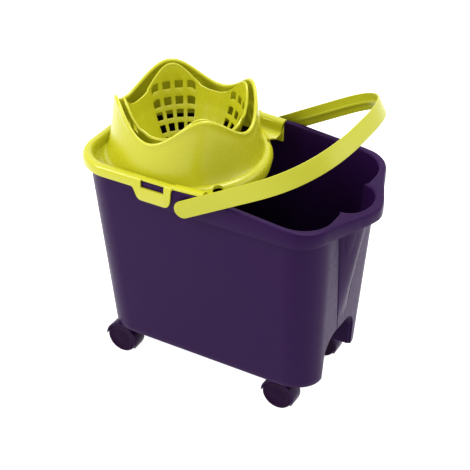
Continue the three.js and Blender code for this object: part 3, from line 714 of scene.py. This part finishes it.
def shoulder_rings():
    """Ledge around the tower foot, with a rounded shoulder that hangs into the bucket."""
    angle = np.linspace(0, 2 * math.pi, TOWER_SIDES, endpoint=False)
    cos, sin = np.cos(angle), np.sin(angle)
    profile = [(101.6, 309.6), (101.6, 314.3), (104.5, 314.6), (107, 314.4), (109.2, 313.6), (111.2, 311.8),
               (112.7, 309.2), (113.6, 306), (114, 302.5), (113.8, 302), (112, 302), (111.4, 302.4),
               (111.1, 305), (110.2, 308), (108.6, 310.2), (106, 311), (104.4, 310.4)]
    degrees = np.degrees(np.abs(np.arctan2(sin, cos)))
    dip = 6.2 * np.clip((18 - degrees) / 10, 0, 1)
    rings = []
    for radius, z in profile:
        r = np.full(TOWER_SIDES, float(radius))
        for _ in range(60):
            over = well_inset(TOWER_X + r * cos, r * sin) < 0.9
            r = np.where(over & (r > 94), r - 0.4, r)
        rings.append(np.column_stack([TOWER_X + r * cos, r * sin, z - dip * (z < 303)]))
    return rings


def bead_path():
    """Points, outward directions and end weight along the bead's U-shaped outer edge."""
    half, radius = BEAD_HALF, BEAD_CORNER
    tab = np.concatenate([np.linspace(-97, -80, 35), np.linspace(-78, -50, 9), np.linspace(-49, -33, 65)])
    stops = np.concatenate([np.linspace(BEAD_RIGHT, -32, 12), tab[::-1], [-100]])
    (from_x, from_inset), (to_x, to_inset) = RECESS
    set_back = np.interp(stops, [from_x - 0.6, from_x + 1.4, to_x], [0, from_inset, to_inset])
    points = np.column_stack([stops, half - set_back]).tolist()
    outward = [(0, 1)] * len(stops)
    ends = [0.0] * len(stops)
    for degrees in np.linspace(90, 180, 28):
        c, s = math.cos(math.radians(degrees)), math.sin(math.radians(degrees))
        points.append((BEAD_LEFT + radius + radius * c, half - radius + radius * s))
        outward.append((c, s))
        ends.append((degrees - 90) / 90)
    for y in np.linspace(half - radius, 0, 6)[1:]:
        points.append((BEAD_LEFT, y))
        outward.append((-1, 0))
        ends.append(1.0)
    points, outward, ends = np.array(points), np.array(outward, float), np.array(ends)
    flip = np.array([1, -1])
    return (np.concatenate([points, points[:-1][::-1] * flip]),
            np.concatenate([outward, outward[:-1][::-1] * flip]),
            np.concatenate([ends, ends[:-1][::-1]]))


def skirt_edge(x):
    """Lower edge of the bead's skirt: it drops round the snap tab and is cut away by the handle."""
    bare = RIM_TOP + 0.4
    keys = [-200, -96, -93.8, -91.8, -90, -88.6, -87, -84.6, -81.5, -78.5,
            -48, -46.2, -44.4, -42.2, -40.4, -39.2, -38.4, -37.9, -37.5, -37.1, -36.5, -35.6, -34.6, 100]
    drop = [SKIRT_BOTTOM, SKIRT_BOTTOM, 311.8, 309.6, 305.2, 301.8, 298.8, 296.4, 295.6, TAB_BOTTOM,
            TAB_BOTTOM, 295.6, 296.1, 297.4, 299.6, 302.2, 305.5, 310, 316, 319.5, 321.6, 322.9, bare, bare]
    return np.interp(x, keys, drop)


def bead_level(inset, z, up, bottom):
    """Height of a bead point: its outer face starts at the skirt's lower edge."""
    if z is None:
        return bottom + up
    return max(z, min(bottom + 0.9, 323.5)) if inset < 1 else z


def bead_rings():
    """Sections along the bead, each point an inset with a height, or with a rise above the skirt's edge."""
    points, outward, ends = bead_path()
    narrower = 1 - ends * (1 - 9 / 11)
    bottom = skirt_edge(points[:, 0])
    section = [(0, None, 0.8), (0, 320, 0), (0.1, 321.8, 0), (0.6, 323.5, 0), (1.7, 325.2, 0),
               (3.4, 326.2, 0), (5.4, 326.5, 0), (8, 326.5, 0), (10.4, 326.1, 0), (12.4, 325, 0),
               (14, 323, 0), (15.1, 320, 0), (16, 316.6, 0), (16.8, 314.2, 0), (18, 312.7, 0),
               (19.6, 312.1, 0), (19.6, 310.4, 0), (13.8, 310.4, 0), (13.8, 323.6, 0), (2.7, 323.6, 0),
               (2.7, None, 0.8), (2.3, None, 0.2), (1.35, None, 0), (0.4, None, 0.2)]
    rings = []
    for i in range(len(points)):
        ring = []
        for inset, z, up in section:
            inset = inset if inset < 2.8 else 2.7 + (inset - 2.7) * narrower[i]
            ring.append((*(points[i] - outward[i] * inset), bead_level(inset, z, up, bottom[i])))
        rings.append(ring)
    return rings


def round_window(side):
    """Cutter for the window of a snap tab, which opens through the edge of the bead."""
    low, high, left, right, r = TAB_WINDOW_LOW, BEAD_TOP - 0.3, TAB_LEFT + 1, TAB_RIGHT - 1.3, 1.6
    outline = np.concatenate([
        arc(right - r, high - r, r, 90, 0, 5), arc(right - r, low + r, r, 0, -90, 5),
        arc(left + r, low + r, r, -90, -180, 5), arc(left + r, high - r, r, 180, 90, 5),
    ])
    rings = []
    for y in sorted([side * (RIM_HALF + 0.3), side * (BEAD_HALF + 6)]):
        rings.append(np.column_stack([outline[:, 0], np.full(len(outline), y), outline[:, 1]]))
    shell = Shells()
    shell.loft(rings)
    return shell.object("helper_window", LIME)


def deck_outline():
    """Plan of the deck: the well outline with the two notches in its free edge."""
    half, radius, left = WELL_HALF - 2.5, CORNER_R - 2, WELL_LEFT + 0.6
    right = BEAD_RIGHT
    notch_x = right + 1
    reach = math.degrees(math.acos(1 / NOTCH_R))
    notch = arc(notch_x, NOTCH_Y, NOTCH_R, 180 + reach, 180 - reach, 16)
    right_half = np.concatenate([[(right, 0), (right, 30), (right, 55)], notch, [(right, half - 8)]])
    left_half = np.concatenate([[(right, half)], line((-20, half), (left + radius, half), 6),
                                arc(left + radius, half - radius, radius, 90, 180, 16), [(left, 0)]])
    return mirrored(np.concatenate([right_half, left_half]))


def notch_cutter(side):
    """Cutter for a notch in the collar and the free edge of the deck."""
    shell = Shells()
    centre = (BEAD_RIGHT + 1, side * NOTCH_Y, 0)
    shell.loft(turned([(NOTCH_R, 296), (NOTCH_R, 311), (NOTCH_R, 340)], 40, "Z", centre))
    return shell.object("helper_notch", LIME)


def deck_plate():
    """Deck with the tower's round mouth cut out of it."""
    plate = Shells()
    plate.plate(deck_outline(), [], DECK_Z - SHEET, DECK_Z, 0.6)
    deck = plate.object("helper_deck", LIME)
    mouth = Shells()
    radius = tower_radius(DECK_Z) - 1.2
    mouth.loft(turned([(radius, DECK_Z - 9), (radius, DECK_Z + 9)], TOWER_SIDES, "Z", (TOWER_X, 0, 0)))
    boolean(deck, mouth.object("helper_mouth", LIME), "DIFFERENCE")
    return deck


def radial_bar(shell, angle, start, end, low, high):
    """Bar along a radius of the tower with rounded edges."""
    c, s, half = math.cos(angle), math.sin(angle), 7
    outline = [(start, -half), (end, -half), (end, half), (start, half)]
    shell.plate(outline, [], low, high, 0.7,
                place=lambda u, v, z: (TOWER_X + u * c - v * s, u * s + v * c, z))


def wringer_housing():
    """Bead with its tabs, collar, tower, hook brackets and deck, as one piece."""
    bead = Shells()
    bead.loft(bead_rings())
    piece = bead.object("wringer_body", LIME)
    for side in (-1, 1):
        boolean(piece, round_window(side), "DIFFERENCE")
    shoulder = Shells()
    shoulder.loft(shoulder_rings(), closed=True)
    collar = shoulder.object("helper_collar", LIME)
    for side in (-1, 1):
        boolean(collar, notch_cutter(side), "DIFFERENCE")
    join(piece, collar)
    rest = Shells()
    rest.loft(tower_rings(), closed=True)
    for side in (-1, 1):
        rounded_bar(rest, (-26, side * 99.6, 297), (BEAD_RIGHT, side * 103.7, 324), 0.8)
    for degrees in (0, 90, 180, 270):
        angle = math.radians(degrees)
        radial_bar(rest, angle, 87, tower_radius(HOOK_Z) - 0.8, HOOK_Z - 5, HOOK_Z - 0.4)
    join(piece, rest.object("helper_tower", LIME))
    join(piece, deck_plate())
    soften(piece)
    stands_for(piece, "wringer_housing")


def basket_radius(z):
    """Outer radius of the basket at a height."""
    keys = [276, 286, 299, 313, 328, 343, 362, 380, 397]
    return np.interp(z, keys, [32, 40, 49, 57.5, 65.5, 72, 76.5, 79.5, 81])


def strip_inset(angle):
    """How far the plain strips between the lobes stand inside the latticed petals."""
    off_lobe = np.abs((np.degrees(angle) - 45 + 45) % 90 - 45)
    return np.interp(off_lobe, [27, 30], [0, 2.2])


def basket_lines():
    """Angles of the wall's grid lines in a quarter, and heights of its rows."""
    columns = [-45, -38, -30, -27]
    for middle in WINDOW_COLUMNS:
        columns += [middle + step for step in COLUMN_STEPS]
    rows = [280, 288, 293]
    for middle, size in WINDOW_ROWS:
        rows += [middle - size / 2, middle, middle + size / 2]
    return columns + [27, 30, 38], rows


def within(low, high, windows):
    """Whether a cell between two grid lines lies in one of the windows."""
    return low < high and any(start - 0.01 <= low and high <= end + 0.01 for start, end in windows)


def stack_heights(top, rows):
    """Heights of a column of grid points, whose upper rows are squeezed under a low crest."""
    room = GRID_TOP - GRID_SPLIT
    scale = min(1.0, (top - GRID_SPLIT - GRID_UNDER_LIP) / room)
    heights = [z if z <= GRID_SPLIT else GRID_SPLIT + (z - GRID_SPLIT) * scale for z in rows]
    rise = max(top - 0.45 * max(2.2, top - GRID_TOP), GRID_SPLIT + room * scale + 1)
    return [*heights, rise, top]


def basket_point(angle, z):
    """Place of a wall point in metres."""
    r = basket_radius(z) - strip_inset(angle) * min(1.0, max(0.0, (z - 284) / 12))
    return [c * MM for c in (TOWER_X + r * math.cos(angle), r * math.sin(angle), z)]


def basket_grid():
    """Basket wall as a mesh without thickness, open at its windows."""
    columns, rows = basket_lines()
    across = [(middle + COLUMN_STEPS[0], middle + COLUMN_STEPS[-1]) for middle in WINDOW_COLUMNS]
    up = [(middle - size / 2, middle + size / 2) for middle, size in WINDOW_ROWS]
    mesh = bmesh.new()
    grid = []
    for quarter in (45, 135, 225, 315):
        for column in columns:
            angle = math.radians(quarter + column)
            heights = stack_heights(crest(angle, BASKET_CREST, PETAL_SHARPNESS), rows)
            grid.append((column, [mesh.verts.new(basket_point(angle, z)) for z in heights]))
    for i, (left, a) in enumerate(grid):
        right, b = grid[(i + 1) % len(grid)]
        for k in range(len(rows) + 1):
            in_row = k + 1 < len(rows) and within(rows[k], rows[k + 1], up)
            if not (in_row and within(left, right, across)):
                mesh.faces.new((a[k], b[k], b[k + 1], a[k + 1]))
    return mesh


def basket_wall():
    """Basket wall as one thick sheet with square windows and rounded edges."""
    mesh = basket_grid()
    data = bpy.data.meshes.new("wringer_basket_shell")
    mesh.to_mesh(data)
    mesh.free()
    piece = bpy.data.objects.new("wringer_basket_shell", data)
    bpy.context.scene.collection.objects.link(piece)
    data.materials.append(LIME)
    thick = piece.modifiers.new("sheet", "SOLIDIFY")
    thick.thickness = BASKET_SHEET * MM
    thick.offset = -1
    bevel = piece.modifiers.new("edges", "BEVEL")
    bevel.width = 0.55 * MM
    bevel.segments = 2
    bevel.limit_method = "ANGLE"
    bevel.angle_limit = math.radians(50)
    apply_modifiers(piece)
    return piece


def basket_lip():
    """Rings of the rounded lip along the basket's wavy top."""
    angle = np.linspace(0, 2 * math.pi, TOWER_SIDES, endpoint=False)
    top = crest(angle, BASKET_CREST, PETAL_SHARPNESS)
    middle = basket_radius(top) - strip_inset(angle) - BASKET_SHEET / 2
    rings = []
    for turn in np.linspace(0, 2 * math.pi, 12, endpoint=False):
        r = middle + 1.8 * math.cos(turn)
        z = top - 1.9 + 1.8 * math.sin(turn)
        rings.append(np.column_stack([TOWER_X + r * np.cos(angle), r * np.sin(angle), z]))
    return rings


def wringer_basket():
    """Basket wall with its lip, floor and four hooks."""
    piece = basket_wall()
    rest = Shells()
    floor = arc(TOWER_X, 0, 33, 0, 360, 73)[:-1]
    drains = [arc(TOWER_X, 0, 5, 0, 360, 25)[:-1]]
    for degrees in range(0, 360, 60):
        x, y = 19 * math.cos(math.radians(degrees)), 19 * math.sin(math.radians(degrees))
        drains.append(arc(TOWER_X + x, y, 5, 0, 360, 25)[:-1])
    rest.plate(floor, drains, BASKET_BOTTOM, BASKET_BOTTOM + BASKET_SHEET, 0.5)
    profile = [(32, 276.4), (33.6, 276.9), (36, 281), (33.4, 281.4), (31, 278.6)]
    rest.loft(turned(profile, 96, "Z", (TOWER_X, 0, 0)), closed=True)
    for degrees in (0, 90, 180, 270):
        radial_bar(rest, math.radians(degrees), basket_radius(HOOK_Z) - 4, 93, HOOK_Z, HOOK_Z + 3)
    rest.loft(basket_lip(), closed=True)
    join(piece, rest.object("helper_floor", LIME))
    soften(piece)
    stands_for(piece, "wringer_basket")


# ---- handle ----

def bail_line(half, reach):
    """Edge of the bail in its own plane, from beyond one pivot round to the other."""
    count = 46
    arm = [(s, half) for s in (-11.7, -11.2, -9.6, -7, -3.5, 0, 12, 25, 36, 42, 48, 56, 70, 86)]
    t = np.linspace(0, math.pi / 2, count)
    bend = np.column_stack([BAIL_STRAIGHT + (reach - BAIL_STRAIGHT) * np.sin(t) ** (2 / BAIL_POWER),
                            half * np.maximum(np.cos(t), 0) ** (2 / BAIL_POWER)])
    chord = np.concatenate([[0], np.cumsum(np.linalg.norm(np.diff(bend, axis=0), axis=1))])
    even = np.linspace(0, chord[-1], count)
    bend = np.column_stack([np.interp(even, chord, bend[:, 0]), np.interp(even, chord, bend[:, 1])])
    side = np.concatenate([arm, bend])
    return np.concatenate([side, side[:-1][::-1] * np.array([1, -1])])


def bail_section(wide, rib):
    """Section of the band as (across, depth), with its rounded edges and the rib inside."""
    soft, back = min(0.9, 0.4 * wide), BAIL_SHEET
    return [(-wide, 1.9), (-wide, 0.7), (-wide + 0.3 * soft, 0.2), (-wide + soft, 0), (-0.4 * wide, 0),
            (0.4 * wide, 0), (wide - soft, 0), (wide - 0.3 * soft, 0.2), (wide, 0.7), (wide, 1.9),
            (wide - 0.3 * soft, 2.4), (wide - soft, back), (2.6, back), (1.9, back + 0.1 * rib),
            (1.6, back + 0.4 * rib), (1.4, back + 0.85 * rib), (0.9, back + rib), (-0.9, back + rib),
            (-1.4, back + 0.85 * rib), (-1.6, back + 0.4 * rib), (-1.9, back + 0.1 * rib), (-2.6, back),
            (-wide + soft, back), (-wide + 0.3 * soft, 2.4)]


def bail_rings():
    """Sections along the bail, whose band is rounded off beyond its pivots."""
    outer = bail_line(BAIL_OUT, BAIL_REACH)
    after = np.roll(outer, -1, axis=0) - outer
    before = outer - np.roll(outer, 1, axis=0)
    after[-1], before[0] = before[-1], after[0]
    tangent = unit(unit(after) + unit(before))
    inward = np.column_stack([tangent[:, 1], -tangent[:, 0]])
    cos, sin = math.cos(BAIL_ANGLE), math.sin(BAIL_ANGLE)
    rings = []
    for place, into in zip(outer, inward):
        along = place[0]
        wide = BAIL_HALF_BAND if along >= 0 else math.sqrt(max(BAIL_HALF_BAND**2 - along**2, 0.7))
        squeeze = wide / BAIL_HALF_BAND if along < 0 else 1
        rib = 3.4 * float(np.clip((along - 40) / 12, 0, 1)) ** 0.7 + 0.001
        ring = []
        for across, depth in bail_section(wide, rib):
            across = across * squeeze if abs(across) < 3 else across
            s, y = place + into * depth
            ring.append((PIVOT[0] + s * cos - across * sin, y, PIVOT[2] + s * sin + across * cos))
        rings.append(ring)
    return rings


def bail():
    """Handle with its two studs."""
    shell = Shells()
    shell.loft(bail_rings())
    for side in (-1, 1):
        inner = BAIL_OUT - BAIL_SHEET
        shell.loft(turned([(0.6, side * 107.5), (STUD_R - 0.8, side * 107.5), (STUD_R, side * 108.4),
                           (STUD_R, side * (inner - 1)), (STUD_R + 1, side * (inner + 0.2)),
                           (0.6, side * (inner + 0.3))], 40, "Y", (PIVOT[0], 0, PIVOT[2])))
    piece = shell.object("bail", HANDLE_LIME)
    stands_for(piece, "bail_handle")


# ---- casters ----

def caster_places():
    """Swivel and axle places of the four casters, read from their joints."""
    places = []
    for name, joint in JOINTS.items():
        if name.endswith("_turn"):
            caster = name[:-len("_turn")]
            x, y = joint["pos_m"][0] / MM, joint["pos_m"][1] / MM
            axle = JOINTS[f"{caster}_wheel_right_roll"]["pos_m"][0] / MM
            places.append({"name": caster, "x": x, "y": y, "axle": axle})
    return places


def hood_rings(place):
    """Hood as a curved shell over both wheels, with rolled edges, pointed at its trailing end."""
    rings = []
    for degrees in np.concatenate([[-38, -37.6, -36.5], np.linspace(-34, 172, 60), [174.5, 175.6, 176]]):
        fade = min(1.0, (degrees + 38.6) / 3.2, (176.6 - degrees) / 3.2)
        tip = 0.62 + 0.38 * min(1.0, max(0.0, (degrees + 38) / 26))
        wide = HOOD_HALF_W * tip
        c, s = math.cos(math.radians(degrees)), math.sin(math.radians(degrees))
        section = [(-wide, 1.6), (-wide + 0.1, 0.9), (-wide + 0.5, 0.3), (-wide + 1.2, 0), (wide - 1.2, 0),
                   (wide - 0.5, 0.3), (wide - 0.1, 0.9), (wide, 1.6), (wide, 2.9), (wide - 0.15, 3.15),
                   (wide - 0.45, 3.15), (wide - 0.6, 2.9), (wide - 0.6, 1.5), (-wide + 0.6, 1.5),
                   (-wide + 0.6, 2.9), (-wide + 0.45, 3.15), (-wide + 0.15, 3.15), (-wide, 2.9)]
        ring = []
        for across, depth in section:
            r = HOOD_R - 0.75 - (depth - 0.75) * fade
            ring.append((place["axle"] + r * c, place["y"] + across, WHEEL_R + r * s))
        rings.append(ring)
    return rings


def hood_web(place):
    """Outline of the web between the wheels, in the XZ plane."""
    hub = [(-9, -5), (-6.5, -7.6), (0, -9), (7, -8.6)]
    outline = np.concatenate([arc(0, 0, HOOD_R - 0.6, -36, 156, 40), hub])
    return outline + np.array([place["axle"], WHEEL_R])


def caster_hood(place):
    """Hood, web and stem seat of one caster."""
    shell = Shells()
    shell.loft(hood_rings(place))
    x, y, half = place["x"], place["y"], WHEEL_GAP - 0.6
    bore = arc(place["axle"], WHEEL_R, 2.35, 0, 360, 25)[:-1]
    shell.plate(hood_web(place), [bore], y - half, y + half, 0.5, place=lambda u, z, v: (u, v, z))
    seat = [(2.8, 43.6), (7.4, 43.6), (8, 44.4), (8, 45.9), (7.5, 46.4), (2.8, 46.4)]
    shell.loft(turned(seat, 40, "Z", (x, y, 0)), closed=True)
    piece = shell.object(place["name"] + "_hood_shell", HOOD_PURPLE)
    stands_for(piece, place["name"] + "_hood")


def caster_wheel(place, side):
    """Disc wheel: rounded tread with a parting line, dished face with a raised rim."""
    inner, face, bore = WHEEL_GAP, WHEEL_GAP + WHEEL_W - 0.7, 2.4
    middle = WHEEL_GAP + WHEEL_W / 2
    profile = [(0.2, face - 0.9), (5.2, face - 0.9), (6.2, face - 1.0), (7, face - 1.1), (13.6, face - 1.1),
               (15.6, face - 0.9), (16.6, face - 0.5), (17.2, face - 0.1), (17.8, face), (19.6, face),
               (20.8, face - 0.35), (21.6, face - 1.1), (WHEEL_R, face - 2.2), (WHEEL_R, middle + 0.25),
               (WHEEL_R - 0.15, middle), (WHEEL_R, middle - 0.25), (WHEEL_R, inner + 1.4),
               (21.6, inner + 0.5), (20.8, inner), (12, inner), (6, inner), (bore, inner),
               (bore, face - 2.4), (0.2, face - 2.4)]
    spun = [(radius, side * y) for radius, y in profile]
    shell = Shells()
    shell.loft(turned(spun, 72, "Y", (place["axle"], place["y"], WHEEL_R)))
    name = f"{place['name']}_wheel_{'left' if side > 0 else 'right'}"
    piece = shell.object(name + "_disc", WHEEL_PURPLE)
    stands_for(piece, name)


def casters():
    for place in caster_places():
        caster_hood(place)
        for side in (-1, 1):
            caster_wheel(place, side)
        for part in ("stem", "grip_ring", "axle"):
            finish_node(f"{place['name']}_{part}", STEEL)
        finish_node(f"{place['name']}_socket", SOCKET_PURPLE)


def finish_node(node, material):
    """Gives a carried-over CAD node its material."""
    slots = frame["nodes"][node].data.materials
    slots.clear()
    slots.append(material)


# ---- floor, lights, camera ----

def floor():
    """Plain pale floor that is bright enough to read as white."""
    material, tree, shader, place = new_material("studio_floor")
    speck = noise(tree, 3, 2, place)
    pale = blend_colour(tree, speck, (0.38, 0.38, 0.38), (0.40, 0.40, 0.40))
    tree.links.new(pale, shader.inputs["Base Color"])
    shader.inputs["Roughness"].default_value = 0.8
    shader.inputs["Emission Color"].default_value = (1, 1, 1, 1)
    shader.inputs["Emission Strength"].default_value = 0.72
    mesh = bpy.data.meshes.new("studio_floor")
    size = 9
    corners = [(-size, -size, 0), (size, -size, 0), (size, size, 0), (-size, size, 0)]
    mesh.from_pydata(corners, [], [(0, 1, 2, 3)])
    mesh.materials.append(material)
    piece = bpy.data.objects.new("studio_floor", mesh)
    bpy.context.scene.collection.objects.link(piece)


def area_light(name, place, target, size, power):
    data = bpy.data.lights.new(name, "AREA")
    data.shape = "RECTANGLE"
    data.size, data.size_y = size
    data.energy = power
    lamp = bpy.data.objects.new(name, data)
    lamp.location = place
    lamp.rotation_euler = (Vector(target) - Vector(place)).to_track_quat("-Z", "Y").to_euler()
    bpy.context.scene.collection.objects.link(lamp)


def lights():
    world = bpy.data.worlds.new("studio")
    bpy.context.scene.world = world
    world.use_nodes = True
    background = world.node_tree.nodes["Background"]
    background.inputs["Color"].default_value = (1, 1, 1, 1)
    background.inputs["Strength"].default_value = 1.12
    aim = (0, 0, 0.2)
    area_light("key", (-1.5, -1.3, 1.7), aim, (0.3, 1.1), 24)
    area_light("key_strip", (-0.4, -2.2, 1.4), aim, (0.14, 1.1), 7)
    area_light("end", (2.2, 0.9, 0.7), aim, (1.6, 1.3), 8)
    area_light("top", (0.2, 0.9, 2.6), aim, (1.8, 1.2), 48)


def camera():
    data = bpy.data.cameras.new("camera")
    data.lens = 105.73
    data.sensor_width = 36
    data.shift_x = 0.0275
    data.shift_y = 0.0550
    data.clip_end = 50
    eye = bpy.data.objects.new("camera", data)
    bearing, rise, distance = math.radians(30.052), math.radians(34.639), 1.87725
    aim = Vector((-0.0317, 0, 0.150))
    away = Vector((math.sin(bearing) * math.cos(rise), -math.cos(bearing) * math.cos(rise), math.sin(rise)))
    eye.location = aim + away * distance
    eye.rotation_euler = (-away).to_track_quat("-Z", "Y").to_euler()
    bpy.context.scene.collection.objects.link(eye)
    bpy.context.scene.camera = eye
    bpy.context.scene.view_settings.view_transform = "Standard"
    bpy.context.scene.view_settings.look = "Medium High Contrast"


camera()
lights()
floor()
bucket()
wringer_housing()
wringer_basket()
bail()
casters()
